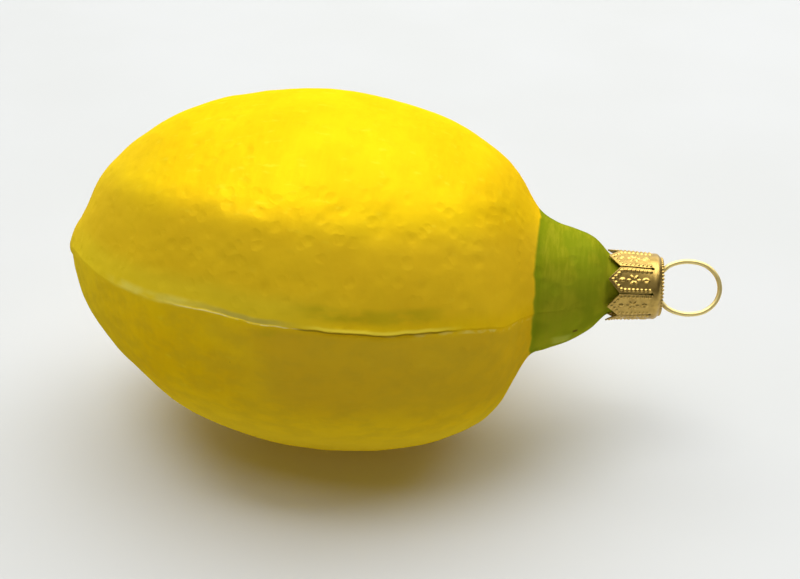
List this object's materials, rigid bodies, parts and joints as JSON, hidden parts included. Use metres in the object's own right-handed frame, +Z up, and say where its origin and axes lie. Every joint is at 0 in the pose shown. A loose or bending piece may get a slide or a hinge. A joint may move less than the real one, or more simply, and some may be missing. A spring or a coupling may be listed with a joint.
{
  "type": "lemon-shaped blown-glass hanging ornament",
  "caption": "Hollow blown-glass lemon ornament lying on its belly, with a pinched green neck, a stamped gold crown cap with pointed tabs and a wire hanging ring.",
  "frame": {"origin": "under the middle of the ornament's bounding box, on the surface that it lies on", "axes": "+X along the ornament from the blossom tip to the hanging ring, +Z up, -Y towards the side that shows the mould seam"},
  "size_m": [0.101, 0.0548, 0.0547],
  "materials": {
    "lacquered_glass": "blown glass, satin yellow lacquer outside with brushed green paint on the neck; nearly opaque, so that a little yellow light comes through in its shadow",
    "gold_tin": "stamped thin sheet, gold lacquered, embossed beads and rosettes",
    "gold_wire": "smooth drawn spring wire, pale gold plated"
  },
  "bodies": {
    "root": {"glass_body": "lacquered_glass", "cap": "gold_tin", "hanger_wire": "gold_wire"}
  },
  "joints": []
}
